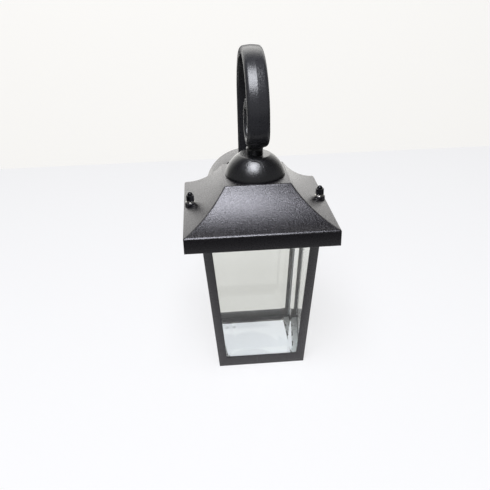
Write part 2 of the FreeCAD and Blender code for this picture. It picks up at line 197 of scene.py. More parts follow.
def combine(piece, tool, operation):
    only(piece)
    modifier = piece.modifiers.new("combined", "BOOLEAN")
    modifier.operation = operation
    modifier.object = tool
    modifier.solver = "EXACT"
    bpy.ops.object.modifier_apply(modifier=modifier.name)
    bpy.data.objects.remove(tool, do_unlink=True)


def joinPieces(pieces, name):
    only(pieces[0])
    for other in pieces[1:]:
        other.select_set(True)
    bpy.ops.object.join()
    pieces[0].name = name
    return pieces[0]


def drill(piece, centre, direction, radius, depth):
    bpy.ops.object.select_all(action="DESELECT")
    bpy.ops.mesh.primitive_cylinder_add(vertices=32, radius=radius * mm, depth=depth * mm, location=centre)
    bit = bpy.context.object
    bit.rotation_euler = Vector(direction).to_track_quat("Z", "Y").to_euler()
    bpy.ops.object.transform_apply(location=True, rotation=True, scale=True)
    combine(piece, bit, "DIFFERENCE")


def copyNode(node, name):
    # A CAD solid's own mesh, welded and with its flat faces made whole, ready to be worked on.
    piece = bpy.data.objects.new(name, nodes[node].data.copy())
    bpy.context.scene.collection.objects.link(piece)
    only(piece)
    bpy.ops.mesh.customdata_custom_splitnormals_clear()
    bpy.ops.object.mode_set(mode="EDIT")
    bpy.ops.mesh.select_all(action="SELECT")
    bpy.ops.mesh.remove_doubles(threshold=weld)
    bpy.ops.mesh.dissolve_limited(angle_limit=math.radians(0.5))
    bpy.ops.object.mode_set(mode="OBJECT")
    return piece


def finishPiece(piece, material, replaced, body="fixture", smooth=32.0):
    only(piece)
    bpy.ops.object.transform_apply(location=True, rotation=True, scale=True)
    bpy.ops.object.shade_smooth_by_angle(angle=math.radians(smooth))
    piece.data.materials.clear()
    piece.data.materials.append(material)
    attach(piece, body)
    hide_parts(*replaced)


# Materials

powder = {"colour": "#131115", "sheen": "#ffffff", "hollow": "#e6e2ec", "roughness": 0.27, "grainMm": 0.9,
          "grainDepth": 0.0003, "peelMm": 6.0}


def makePowderCoat():
    # Polyester powder coat, sprayed and baked on cast metal: satin black with a pebbled skin that breaks up
    # every reflection. The real pebble is near half a millimetre and is drawn coarser, so that it shows.
    material, tree, place = newMaterial("powder coat black satin")
    grain = addNode(tree, "ShaderNodeTexNoise", values={"Scale": perMetre(powder["grainMm"]), "Detail": 2.0},
                    links={"Vector": place})
    peel = addNode(tree, "ShaderNodeTexNoise", values={"Scale": perMetre(powder["peelMm"]), "Detail": 1.0},
                   links={"Vector": place})
    rough = addNode(tree, "ShaderNodeMapRange", values={"To Min": powder["roughness"] - 0.06,
                    "To Max": powder["roughness"] + 0.08}, links={"Value": grain.outputs["Fac"]})
    coarse = addNode(tree, "ShaderNodeBump", values={"Strength": 0.12, "Distance": 0.0002},
                     links={"Height": peel.outputs["Fac"]})
    bump = addNode(tree, "ShaderNodeBump", values={"Strength": 0.9, "Distance": powder["grainDepth"]},
                   links={"Height": grain.outputs["Fac"], "Normal": coarse.outputs["Normal"]})
    sheen = addNode(tree, "ShaderNodeMix", settings={"data_type": "RGBA"},
                    values={"A": linear(powder["hollow"]), "B": linear(powder["sheen"])},
                    links={"Factor": grain.outputs["Fac"]})
    shader = addNode(tree, "ShaderNodeBsdfPrincipled", values={"Base Color": linear(powder["colour"]),
                     "IOR": 1.85}, links={"Specular Tint": sheen.outputs["Result"],
                     "Roughness": rough.outputs["Result"], "Normal": bump.outputs["Normal"]})
    addNode(tree, "ShaderNodeOutputMaterial", links={"Surface": shader.outputs["BSDF"]})
    return material


gloss = {"roughness": 0.27, "waveMm": 9.0, "grainMm": 1.2, "pitMm": 8.0, "pitSize": 0.08}
scar = {"middle": (-4.0, -25.0, 66.0), "radius": 11.3, "wide": 0.7, "deep": 0.0005, "end": (7.0, -22.5, 67.0),
        "lean": (0.6, 0.0, 0.8), "soft": 0.4}


def makeGlossPaint(name, colour, shine, glancing):
    # Gloss enamel, sprayed on smooth metal: deep black, a fine grain and a slow wave in its reflections,
    # a few small pits, and a curved dent in the dome. Shine is its IOR, and glancing is how much rougher it
    # looks where it is seen edge on.
    material, tree, place = newMaterial(name)
    wave = addNode(tree, "ShaderNodeTexNoise", values={"Scale": perMetre(gloss["waveMm"]), "Detail": 1.0},
                   links={"Vector": place})
    cell = addNode(tree, "ShaderNodeTexVoronoi", values={"Scale": perMetre(gloss["pitMm"])},
                   links={"Vector": place})
    pit = addNode(tree, "ShaderNodeMapRange", values={"From Max": gloss["pitSize"]},
                  links={"Value": cell.outputs["Distance"]})
    rough = addNode(tree, "ShaderNodeMapRange", values={"To Min": gloss["roughness"] - 0.05,
                    "To Max": gloss["roughness"] + 0.06}, links={"Value": wave.outputs["Fac"]})
    grain = addNode(tree, "ShaderNodeTexNoise", values={"Scale": perMetre(gloss["grainMm"]), "Detail": 2.0},
                    links={"Vector": place})
    fine = addNode(tree, "ShaderNodeBump", values={"Strength": 0.8, "Distance": 0.0002},
                   links={"Height": grain.outputs["Fac"]})
    slow = addNode(tree, "ShaderNodeBump", values={"Strength": 0.12, "Distance": 0.0003},
                   links={"Height": wave.outputs["Fac"], "Normal": fine.outputs["Normal"]})
    bump = addNode(tree, "ShaderNodeBump", values={"Strength": 0.5, "Distance": 0.0001},
                   links={"Height": pit.outputs["Result"], "Normal": slow.outputs["Normal"]})
    reach = addNode(tree, "ShaderNodeVectorMath", settings={"operation": "DISTANCE"},
                    values={1: spot(*scar["middle"])}, links={0: place})
    ring = addNode(tree, "ShaderNodeMath", settings={"operation": "SUBTRACT"},
                   values={1: scar["radius"] * mm}, links={0: reach.outputs["Value"]})
    away = addNode(tree, "ShaderNodeMath", settings={"operation": "ABSOLUTE"},
                   links={0: ring.outputs["Value"]})
    groove = addNode(tree, "ShaderNodeMapRange", values={"From Max": scar["wide"] * mm},
                     links={"Value": away.outputs["Value"]})
    along = addNode(tree, "ShaderNodeVectorMath", settings={"operation": "DOT_PRODUCT"},
                    values={1: scar["lean"]}, links={0: place})
    last = Vector(scar["lean"]).dot(spot(*scar["end"]))
    ends = addNode(tree, "ShaderNodeMapRange", values={"From Min": last - scar["soft"] * mm,
                   "From Max": last + scar["soft"] * mm, "To Min": 1.0, "To Max": 0.0},
                   links={"Value": along.outputs["Value"]})
    cut = addNode(tree, "ShaderNodeMath", settings={"operation": "MAXIMUM"}, links={
        0: groove.outputs["Result"], 1: ends.outputs["Result"]})
    dent = addNode(tree, "ShaderNodeBump", values={"Strength": 1.0, "Distance": scar["deep"]},
                   links={"Height": cut.outputs["Value"], "Normal": bump.outputs["Normal"]})
    facing = addNode(tree, "ShaderNodeLayerWeight")
    edge = addNode(tree, "ShaderNodeMapRange", values={"From Min": 0.7, "From Max": 0.95, "To Max": glancing},
                   links={"Value": facing.outputs["Facing"]})
    total = addNode(tree, "ShaderNodeMath", settings={"operation": "ADD"}, links={
        0: rough.outputs["Result"], 1: edge.outputs["Result"]})
    shader = addNode(tree, "ShaderNodeBsdfPrincipled", values={"Base Color": linear(colour), "IOR": shine},
                     links={"Roughness": total.outputs["Value"], "Normal": dent.outputs["Normal"]})
    addNode(tree, "ShaderNodeOutputMaterial", links={"Surface": shader.outputs["BSDF"]})
    return material


# The back pane's grey-yellow tint is partly the glass's own absorption and partly painted shade: the table
# behind, in the roof's shadow, seen through it.
glass = {"clean": "#fafbfa", "tintAndShade": "#ebebe5", "bottom": "#f7fbff", "shade": "#f7faf8", "rippleMm": 14.0}


def makeGlass(name, colour):
    # Soda-lime float glass with ground and polished bevels: clear, a faint ripple where it was polished.
    # It lets the lamps through, so what stands inside the cage is lit.
    material, tree, place = newMaterial(name)
    ripple = addNode(tree, "ShaderNodeTexNoise", values={"Scale": perMetre(glass["rippleMm"]), "Detail": 0.0},
                     links={"Vector": place})
    bump = addNode(tree, "ShaderNodeBump", values={"Strength": 0.05, "Distance": 0.0003},
                   links={"Height": ripple.outputs["Fac"]})
    clear = addNode(tree, "ShaderNodeBsdfPrincipled", values={"Base Color": linear(colour), "IOR": 1.52,
                    "Roughness": 0.0, "Transmission Weight": 1.0}, links={"Normal": bump.outputs["Normal"]})
    through = addNode(tree, "ShaderNodeBsdfTransparent", values={"Color": linear(glass["shade"])})
    rays = addNode(tree, "ShaderNodeLightPath")
    mixed = addNode(tree, "ShaderNodeMixShader", links={0: rays.outputs["Is Shadow Ray"],
                    1: clear.outputs["BSDF"], 2: through.outputs["BSDF"]})
    addNode(tree, "ShaderNodeOutputMaterial", links={"Surface": mixed.outputs["Shader"]})
    return material


def makeMetal(name, colour, second, roughness, patchMm, share=0.5, wornBelow=-1.0):
    # A metal whose colour drifts in patches towards a second tone, with roughness that follows the patches.
    # Below the height wornBelow it is all of the second tone.
    material, tree, place = newMaterial(name)
    patch = addNode(tree, "ShaderNodeTexNoise", values={"Scale": perMetre(patchMm), "Detail": 3.0},
                    links={"Vector": place})
    amount = addNode(tree, "ShaderNodeMapRange", values={"From Min": 1.0 - share, "From Max": 1.15 - share},
                     links={"Value": patch.outputs["Fac"]})
    axes = addNode(tree, "ShaderNodeSeparateXYZ", links={"Vector": place})
    worn = addNode(tree, "ShaderNodeMath", settings={"operation": "LESS_THAN"}, values={1: wornBelow},
                   links={0: axes.outputs["Z"]})
    either = addNode(tree, "ShaderNodeMath", settings={"operation": "MAXIMUM"}, links={
        0: amount.outputs["Result"], 1: worn.outputs["Value"]})
    tone = addNode(tree, "ShaderNodeMix", settings={"data_type": "RGBA"}, values={"A": linear(colour),
                   "B": linear(second)}, links={"Factor": either.outputs["Value"]})
    rough = addNode(tree, "ShaderNodeMapRange", values={"To Min": roughness - 0.08,
                    "To Max": roughness + 0.12}, links={"Value": patch.outputs["Fac"]})
    bump = addNode(tree, "ShaderNodeBump", values={"Strength": 0.1, "Distance": 0.0001},
                   links={"Height": patch.outputs["Fac"]})
    shader = addNode(tree, "ShaderNodeBsdfPrincipled", values={"Metallic": 1.0}, links={
        "Base Color": tone.outputs["Result"], "Roughness": rough.outputs["Result"],
        "Normal": bump.outputs["Normal"]})
    addNode(tree, "ShaderNodeOutputMaterial", links={"Surface": shader.outputs["BSDF"]})
    return material


ceramic = {"colour": "#ece8de", "speck": "#cfc8b8", "speckMm": 2.5, "waveMm": 8.0}


def makePorcelain():
    # Electrical porcelain, dipped in clear glaze and fired: cream white, wet gloss, faint specks under it.
    material, tree, place = newMaterial("glazed porcelain cream")
    speck = addNode(tree, "ShaderNodeTexNoise", values={"Scale": perMetre(ceramic["speckMm"]), "Detail": 2.0},
                    links={"Vector": place})
    wave = addNode(tree, "ShaderNodeTexNoise", values={"Scale": perMetre(ceramic["waveMm"]), "Detail": 0.0},
                   links={"Vector": place})
    tone = addNode(tree, "ShaderNodeValToRGB", links={"Fac": speck.outputs["Fac"]})
    tone.color_ramp.elements[0].position = 0.28
    tone.color_ramp.elements[0].color = linear(ceramic["speck"])
    tone.color_ramp.elements[1].position = 0.4
    tone.color_ramp.elements[1].color = linear(ceramic["colour"])
    rough = addNode(tree, "ShaderNodeMapRange", values={"To Min": 0.07, "To Max": 0.16},
                    links={"Value": wave.outputs["Fac"]})
    bump = addNode(tree, "ShaderNodeBump", values={"Strength": 0.1, "Distance": 0.0004},
                   links={"Height": wave.outputs["Fac"]})
    shader = addNode(tree, "ShaderNodeBsdfPrincipled", values={"IOR": 1.5}, links={
        "Base Color": tone.outputs["Color"], "Roughness": rough.outputs["Result"],
        "Normal": bump.outputs["Normal"]})
    addNode(tree, "ShaderNodeOutputMaterial", links={"Surface": shader.outputs["BSDF"]})
    return material


silicone = {"colour": "#f0f3f3", "lumpMm": 3.0, "bead": (0.15, 1.41), "drop": (0.9, 1.1)}


def makeSealant(name, clearness, bending):
    # Clear silicone, squeezed from a gun and left to skin over: soft gloss, small lumps, cloudy where it is
    # wiped and clearer in a drop. Bending is its IOR, low in a drop, which wets the glass and so has no gap
    # under it to turn the view back.
    material, tree, place = newMaterial(name)
    lump = addNode(tree, "ShaderNodeTexNoise", values={"Scale": perMetre(silicone["lumpMm"]), "Detail": 1.0},
                   links={"Vector": place})
    rough = addNode(tree, "ShaderNodeMapRange", values={"To Min": 0.2, "To Max": 0.4},
                    links={"Value": lump.outputs["Fac"]})
    bump = addNode(tree, "ShaderNodeBump", values={"Strength": 0.4, "Distance": 0.0004},
                   links={"Height": lump.outputs["Fac"]})
    shader = addNode(tree, "ShaderNodeBsdfPrincipled", values={"Base Color": linear(silicone["colour"]),
                     "IOR": bending, "Transmission Weight": clearness}, links={
                         "Roughness": rough.outputs["Result"], "Normal": bump.outputs["Normal"]})
    addNode(tree, "ShaderNodeOutputMaterial", links={"Surface": shader.outputs["BSDF"]})
    return material


powderCoat = makePowderCoat()
glossPaint = makeGlossPaint("gloss enamel black", "#18181a", 1.84, 0.0)
# The bar takes the dome's enamel in a lighter colour: painted light that lifts its shaded inner faces and lower
# front.
barPaintLighter = makeGlossPaint("gloss enamel black on rough bar painted lighter", "#313134", 1.67, 0.5)
cleanGlass = makeGlass("soda lime glass clear", glass["clean"])
# Back pane: tinted glass whose darkening also paints the shade on the table seen through it.
backGlassTintAndShade = makeGlass("soda lime glass tinted with painted shade", glass["tintAndShade"])
# Bottom pane: clear glass with a faint blue tint that paints the bluish reflection of light from inside the
# cage.
bottomGlass = makeGlass("soda lime glass bottom with painted blue reflection", glass["bottom"])
nutFlange = {"radius": 4.6, "rim": 0.5, "high": 1.0}
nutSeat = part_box("left_cap_nut")[0].z
blackNut = makeMetal("blackened steel", "#38383b", "#b5b3ae", 0.22, 3.0, 0.2,
                     nutSeat + nutFlange["high"] * mm)
wornWasher = makeMetal("blackened steel rubbed bright", "#d2d0ca", "#77756f", 0.2, 2.5, 0.4)
zincSteel = makeMetal("zinc plated steel", "#b4b5b1", "#c3bda6", 0.3, 4.0)
brass = makeMetal("rolled brass dulled", "#c7a55c", "#94713a", 0.3, 3.5)
porcelain = makePorcelain()
sealant = makeSealant("silicone sealant cloudy", *silicone["bead"])
sealantDrop = makeSealant("silicone drop clear", *silicone["drop"])
paint(["front_pane", "left_pane", "right_pane"], cleanGlass)
paint(["back_pane"], backGlassTintAndShade)
paint(["bottom_pane"], bottomGlass)
paint(["nipple", "lock_washer", "lock_nut", "left_stud", "right_stud"], zincSteel)
paint(["centre_contact"], brass)
print("materials done")


# Roof: four hollow slopes that meet in mitred hips, a straight skirt and two bosses

roof = {"topHalf": 36.0, "skirt": 17.4, "hollow": 4.7, "wall": 2.2, "spare": 0.15, "slopeSteps": 16,
        "edgeRound": 0.4, "hipFrom": 33.0, "hipRound": 1.4, "tubeHole": 5.2, "bossRadius": 6.2,
        "bossLow": 6.0, "bossRound": 0.6, "bossSteps": 40, "studHole": 2.3, "drillDepth": 60.0}


def makeRoof():
    half = (roofHigh.x - roofLow.x) / 2.0 / mm - roof["spare"]  # the rounded hips bulge by this much
    top = heightOf(roofHigh.z)
    foot = Vector((half, roof["skirt"]))
    head = Vector((roof["topHalf"], top))
    chord = head - foot
    radius = (chord.length_squared / 4.0 + roof["hollow"] ** 2) / (2.0 * roof["hollow"])
    centre = (foot + head) / 2.0 + Vector((chord.y, -chord.x)).normalized() * (radius - roof["hollow"])
    footTurn = math.degrees(math.atan2(foot.y - centre.y, foot.x - centre.x))
    headTurn = math.degrees(math.atan2(head.y - centre.y, head.x - centre.x))
    inner = radius + roof["wall"]
    innerFoot = -math.degrees(math.acos((half - roof["wall"] - centre.x) / inner))
    innerHead = math.degrees(math.asin((centre.y - top + roof["wall"]) / inner)) - 180.0
    steps = roof["slopeSteps"]
    section = [(half, 0.0)] + arcLine(centre, radius, footTurn, headTurn, steps)
    section += [(roof["tubeHole"], top), (roof["tubeHole"], top - roof["wall"])]
    section += arcLine(centre, inner, innerHead, innerFoot, steps) + [(half - roof["wall"], 0.0), (half, 0.0)]
    piece = drawProfile("roof_casting", [spot(reach, reach, height) for reach, height in section])
    bpy.ops.mesh.spin(steps=4, angle=2.0 * math.pi, center=spot(0.0, 0.0, 0.0), axis=(0.0, 0.0, 1.0))
    mendNormals()
    pick(piece, "EDGE", lambda point: abs(abs(point.x) - abs(point.y - axisY)) < near
         and abs(point.x) > roof["hipFrom"] * mm and heightOf(point.z) > roof["skirt"] - near / mm)
    bpy.ops.mesh.bevel(offset=roof["hipRound"] * mm, segments=4)
    bpy.ops.object.mode_set(mode="OBJECT")
    roundEdges(piece, roof["edgeRound"], 3, 20.0)
    for side in ("left", "right"):
        x, bossTop = turnedSize(side + "_washer")[:2]
        wide = roof["bossRadius"]
        boss = turn(side + "_boss", [(0.0, roof["bossLow"]), (wide, roof["bossLow"]), (wide, bossTop),
                    (0.0, bossTop)], roof["bossSteps"], [(wide, bossTop, roof["bossRound"], 3)], x=x)
        combine(piece, boss, "UNION")
        drill(piece, spot(x, 0.0, bossTop), (0.0, 0.0, 1.0), roof["studHole"], roof["drillDepth"])
    finishPiece(piece, powderCoat, ["roof"])


makeRoof()
print("roof done")


# Cage: the cast frame with its edges softened by the coat

cage = {"edgeRound": 0.55}


def makeCage():
    piece = copyNode("cage_frame", "cage_casting")
    roundEdges(piece, cage["edgeRound"], 2, 30.0)
    finishPiece(piece, powderCoat, ["cage_frame"])


makeCage()
print("cage done")


# Dome and collar: spun and turned pieces on the lantern's axis

dome = {"lip": 1.2, "wall": 1.8, "seatRadius": 17.5, "seatRound": 0.7, "lipRound": 0.5, "tubeHole": 5.2,
        "steps": 112, "outerSteps": 20, "innerSteps": 14}


def makeDome():
    base, top, radius = turnedSize("dome_cap")[1:]
    seat = dome["seatRadius"]
    lip = base + dome["lip"]
    middle = (top + lip - (radius ** 2 - seat ** 2) / (top - lip)) / 2.0  # height of the ball's centre
    ball = math.hypot(radius, lip - middle)
    inner = ball - dome["wall"]
    lipTurn = math.degrees(math.atan2(lip - middle, radius))
    seatTurn = math.degrees(math.atan2(top - middle, seat))
    innerTop = math.degrees(math.asin((top - dome["wall"] - middle) / inner))
    innerLow = math.degrees(math.asin((base - middle) / inner))
    profile = [(radius, base)] + arcLine((0.0, middle), ball, lipTurn, seatTurn, dome["outerSteps"])
    profile += [(dome["tubeHole"], top), (dome["tubeHole"], top - dome["wall"])]
    profile += arcLine((0.0, middle), inner, innerTop, innerLow, dome["innerSteps"]) + [(radius, base)]
    rounds = [(seat, top, dome["seatRound"], 4), (radius, base, dome["lipRound"], 3)]
    piece = turn("dome_spinning", profile, dome["steps"], rounds)
    finishPiece(piece, glossPaint, ["dome_cap"])


collar = {"neck": 9.1, "bead": 2.4, "beadSlope": 0.6, "beadRound": 0.6, "topRound": 1.5, "footRound": 0.4,
          "bore": 5.2, "steps": 72}


def makeCollar():
    base, top, radius = turnedSize("collar")[1:]
    low = top - collar["bead"]
    neck = collar["neck"]
    profile = [(collar["bore"], base), (neck, base), (neck, low - collar["beadSlope"]), (radius, low),
               (radius, top), (collar["bore"], top), (collar["bore"], base)]
    rounds = [(radius, low, collar["beadRound"], 3), (radius, top, collar["topRound"], 5),
              (neck, base, collar["footRound"], 2)]
    piece = turn("collar_turning", profile, collar["steps"], rounds)
    finishPiece(piece, glossPaint, ["collar"])


makeDome()
makeCollar()
print("dome and collar done")


# Arm: one flat bar with a soft ridge along its back, bent to a crook and a scroll

arm = {"halfWidth": 12.2, "inside": 5.0, "back": 3.8, "ridge": 5.0, "insideCorner": 3.4, "backCorner": 4.2,
       "cornerSteps": 6, "legY": 98.0, "archHeight": 122.0, "archRadius": 61.0, "archSteps": 56,
       "eyeY": -2.5, "eyeHeight": 112.6, "eyeRadius": 21.5, "eyeTurn": 275.0, "eyeSteps": 72,
       "buttonRadius": 6.0, "buttonRound": 1.2, "bossRadius": 9.0, "bossHeight": 9.0, "buttonSteps": 40,
       "bossSteps": 48, "footTop": 24.0, "padCorner": 12.15, "padSteps": 10, "toeSteps": 9, "toeCut": 84.0,
       "offSquare": -1.2}


def makeArm():
    wide = arm["halfWidth"]
    leg = arm["legY"]
    toeLow = heightOf(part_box("hook_arm")[0].z)
    toeMiddle = toeLow + wide
    cutOff = arm["toeCut"]  # degrees round the toe at which its tip is closed flat
    start = toeMiddle - wide * math.sin(math.radians(cutOff))
    corners = [(-wide, -arm["inside"]), (wide, -arm["inside"]), (wide, arm["back"]), (0.0, arm["ridge"]),
               (-wide, arm["back"])]
    section = [spot(x, leg + out, start) for x, out in corners]
    rounds = [(section[i], arm["insideCorner"], arm["cornerSteps"]) for i in (0, 1)]
    rounds += [(section[i], arm["backCorner"], arm["cornerSteps"]) for i in (2, 4)]
    piece = drawProfile("crook_arm", section + section[:1], rounds)
    narrow = math.cos(math.radians(cutOff))
    bpy.ops.transform.resize(value=(narrow, 1.0, 1.0), center_override=spot(0.0, leg, start))
    bpy.ops.mesh.edge_face_add()
    before = cutOff
    for i in range(arm["toeSteps"]):
        now = cutOff * (1.0 - (i + 1) / arm["toeSteps"])
        rise = wide * (math.sin(math.radians(before)) - math.sin(math.radians(now)))
        bpy.ops.mesh.extrude_region_move(TRANSFORM_OT_translate={"value": (0.0, 0.0, rise * mm)})
        grow = math.cos(math.radians(now)) / math.cos(math.radians(before))
        bpy.ops.transform.resize(value=(grow, 1.0, 1.0), center_override=spot(0.0, leg, 0.0))
        before = now
    bpy.ops.mesh.extrude_region_move(
        TRANSFORM_OT_translate={"value": (0.0, 0.0, (arm["archHeight"] - toeMiddle) * mm)})
    archMiddle = spot(0.0, leg - arm["archRadius"], arm["archHeight"])
    bpy.ops.mesh.spin(steps=arm["archSteps"], angle=math.pi, center=archMiddle, axis=(-1.0, 0.0, 0.0))
    bpy.ops.mesh.extrude_region_move(
        TRANSFORM_OT_translate={"value": (0.0, 0.0, (arm["eyeHeight"] - arm["archHeight"]) * mm)})
    eyeMiddle = spot(0.0, arm["eyeY"], arm["eyeHeight"])
    bpy.ops.mesh.spin(steps=arm["eyeSteps"], angle=math.radians(arm["eyeTurn"]), center=eyeMiddle,
                      axis=(-1.0, 0.0, 0.0))
    mendNormals()
    pick(piece, "EDGE", lambda point: abs(point.x) < weld)
    bpy.ops.mesh.mark_sharp()
    bpy.ops.object.mode_set(mode="OBJECT")
    end = math.radians(180.0 + arm["eyeTurn"])
    buttonMiddle = eyeMiddle + Vector((0.0, math.cos(end), math.sin(end))) * arm["eyeRadius"] * mm

    def acrossArm(along, out, height):
        return buttonMiddle + Vector((height, along, out)) * mm  # turned pieces lie along X here

    size = arm["buttonRadius"]
    rounds = [(size, end, arm["buttonRound"], 3) for end in (-wide, wide)]
    button = turn("button", [(0.0, -wide), (size, -wide), (size, wide), (0.0, wide)], arm["buttonSteps"],
                  rounds, place=acrossArm)
    combine(piece, button, "UNION")
    base = heightOf(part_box("collar")[1].z)
    top = base + arm["bossHeight"]
    boss = turn("boss", [(0.0, base), (arm["bossRadius"], base), (arm["bossRadius"], top), (0.0, top)],
                arm["bossSteps"])
    combine(piece, boss, "UNION")
    # The arm stands a little off square on its two screws.
    bpy.ops.object.mode_set(mode="EDIT")
    bpy.ops.mesh.select_all(action="SELECT")
    bpy.ops.transform.rotate(value=math.radians(arm["offSquare"]), orient_axis="Z",
                             center_override=spot(0.0, leg, 0.0))
    bpy.ops.object.mode_set(mode="OBJECT")
    combine(piece, makeFootPad(toeLow, leg), "UNION")
    finishPiece(piece, barPaintLighter, ["hook_arm"])


def makeFootPad(toeLow, leg):
    # The flat pad that beds the arm on the plate, with the same round toe as the bar.
    padTop = heightOf(0.0) + arm["footTop"]
    wide = arm["halfWidth"]
    bpy.ops.object.select_all(action="DESELECT")
    middle = spot(0.0, leg + arm["ridge"] / 2.0, (padTop + toeLow) / 2.0)
    bpy.ops.mesh.primitive_cube_add(size=1.0, location=middle)
    pad = bpy.context.object
    pad.scale = (2.0 * wide * mm, arm["ridge"] * mm, (padTop - toeLow) * mm)
    bpy.ops.object.transform_apply(location=True, rotation=True, scale=True)
    lowest = eaves + toeLow * mm + near
    bpy.ops.object.mode_set(mode="EDIT")
    bpy.ops.mesh.select_mode(type="EDGE")
    bpy.ops.mesh.select_all(action="DESELECT")
    bpy.ops.object.mode_set(mode="OBJECT")
    for edge in pad.data.edges:
        a, b = (pad.data.vertices[i].co for i in edge.vertices)
        edge.select = a.z < lowest and b.z < lowest and abs(a.x - b.x) < near
    bpy.ops.object.mode_set(mode="EDIT")
    bpy.ops.mesh.bevel(offset=arm["padCorner"] * mm, segments=arm["padSteps"])
    bpy.ops.object.mode_set(mode="OBJECT")
    return pad


makeArm()
print("arm done")


# Plate: a deep round cup on the wall, with two screws from inside that hold the arm

plate = {"faceRadius": 53.2, "wall": 2.0, "shoulder": 5.0, "innerShoulder": 3.2, "rimRound": 0.5,
         "innerRimRound": 0.4, "steps": 128, "holeRadius": 2.35, "holeTurn": 117.5, "holeFromFace": 8.0,
         "drillDepth": 12.0}


def onWall(radius, along, depth):
    return Vector((radius * mm, -depth * mm, along * mm))  # depth is out from the wall


def makePlate():
    low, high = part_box("back_plate")
    rim = (high.x - low.x) / 2.0 / mm
    deep = (high.y - low.y) / mm
    wall = plate["wall"]
    face = plate["faceRadius"]
    profile = [(0.0, deep), (face, deep), (rim, 0.0), (rim - wall, 0.0), (face - wall, deep - wall),
               (0.0, deep - wall)]
    rounds = [(face, deep, plate["shoulder"], 8), (face - wall, deep - wall, plate["innerShoulder"], 6),
              (rim, 0.0, plate["rimRound"], 3), (rim - wall, 0.0, plate["innerRimRound"], 2)]
    piece = turn("wall_plate", profile, plate["steps"], rounds, place=onWall)
    holeDepth = deep - plate["holeFromFace"]
    for side in (0.0, 180.0):
        angle = math.radians(plate["holeTurn"] + side)
        direction = Vector((math.cos(angle), 0.0, math.sin(angle)))
        hole = direction * face * mm + Vector((0.0, -holeDepth * mm, 0.0))
        drill(piece, hole, direction, plate["holeRadius"], plate["drillDepth"])
    finishPiece(piece, powderCoat, ["back_plate"])


screw = {"shank": 2.4, "point": 0.5, "headEdge": 0.9, "headCrown": 0.2, "headRound": 0.5, "steps": 32,
         "slotWide": 0.9, "slotLong": 4.8, "slotDeep": 1.5}


def cutSlot(piece, centre, size):
    bpy.ops.object.select_all(action="DESELECT")
    bpy.ops.mesh.primitive_cube_add(size=1.0, location=centre)
    cutter = bpy.context.object
    cutter.scale = [length * mm for length in size]
    bpy.ops.object.transform_apply(location=True, rotation=True, scale=True)
    combine(piece, cutter, "DIFFERENCE")


def makeArmScrews():
    low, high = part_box("arm_screws")
    head = (high.x - low.x) / 2.0 / mm
    tip = -low.y / mm
    seat = -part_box("back_plate")[0].y / mm - plate["wall"]
    out = -high.y / mm
    pair = []
    for height in (high.z / mm - head, low.z / mm + head):
        def atScrew(radius, along, depth):
            return Vector((radius * mm, -depth * mm, (along + height) * mm))

        shoulder = (head - screw["headEdge"], out + screw["headCrown"])
        profile = [(0.0, tip), (screw["shank"] - screw["point"], tip), (screw["shank"], tip - screw["point"]),
                   (screw["shank"], seat), (head, seat), (head, out + screw["headEdge"]), shoulder,
                   (0.0, out)]
        rounds = [(*shoulder, screw["headRound"], 3)]
        piece = turn("arm_screw", profile, screw["steps"], rounds, place=atScrew)
        for size in ((screw["slotLong"], screw["slotDeep"] * 2.0, screw["slotWide"]),
                     (screw["slotWide"], screw["slotDeep"] * 2.0, screw["slotLong"])):
            cutSlot(piece, Vector((0.0, high.y, height * mm)), size)
        pair.append(piece)
    finishPiece(joinPieces(pair, "arm_screw_pair"), zincSteel, ["arm_screws"])


makePlate()
makeArmScrews()
print("plate done")


# Cap nuts and washers that hold the roof down on the cage's ears

nut = {"acrossFlats": 8.7, "hexHigh": 8.0, "hexEdge": 0.12, "chamfer": 0.5, "crown": 3.15, "crownStep": 0.1,
       "bore": 2.05, "boreDeep": 8.2, "boreTip": 0.8, "overCorner": 0.2, "barLong": 40.0, "steps": 72}


def makeNut(side):
    x, base, tip = turnedSize(side + "_cap_nut")[:3]
    hexTop = base + nut["hexHigh"]
    corner = nut["acrossFlats"] / math.sqrt(3.0)
    crownHigh = tip - hexTop
    crown = [(nut["crown"] * math.cos(math.radians(a)), hexTop + crownHigh * math.sin(math.radians(a)))
             for a in range(0, 91, 9)]
    crown[-1] = (0.0, tip)
    boreTop = base + nut["boreDeep"]
    outside = corner + nut["overCorner"]
    profile = [(0.0, boreTop), (nut["bore"], boreTop - nut["boreTip"]), (nut["bore"], base), (outside, base),
               (outside, hexTop - nut["chamfer"]), (nut["crown"] + nut["crownStep"], hexTop)] + crown
    piece = turn(side + "_acorn_nut", profile, nut["steps"], x=x)
    bpy.ops.object.select_all(action="DESELECT")
    bpy.ops.mesh.primitive_cylinder_add(vertices=6, radius=corner * mm, depth=nut["barLong"] * mm,
                                        location=spot(x, 0.0, base))
    hexBar = bpy.context.object
    roundEdges(hexBar, nut["hexEdge"], 2, 30.0)
    combine(piece, hexBar, "INTERSECT")
    flangeTop = base + nutFlange["high"]
    wide = nutFlange["radius"]
    ring = [(nut["bore"], base), (wide, base), (wide, flangeTop), (nut["bore"], flangeTop), (nut["bore"], base)]
    flange = turn(side + "_flange", ring, nut["steps"], [(wide, flangeTop, nutFlange["rim"], 4)], x=x)
    combine(piece, flange, "UNION")
    finishPiece(piece, blackNut, [side + "_cap_nut"], body=side + "_nut", smooth=25.0)


washer = {"lowRound": 0.3, "topRound": 0.5, "boreRound": 0.2, "steps": 48}


def makeWasher(side):
    x, base, top, radius = turnedSize(side + "_washer")
    bore = roof["studHole"]
    profile = [(bore, base), (radius, base), (radius, top), (bore, top), (bore, base)]
    rounds = [(radius, base, washer["lowRound"], 2), (radius, top, washer["topRound"], 4),
              (bore, top, washer["boreRound"], 2)]
    piece = turn(side + "_flat_washer", profile, washer["steps"], rounds, x=x)
    finishPiece(piece, wornWasher, [side + "_washer"])


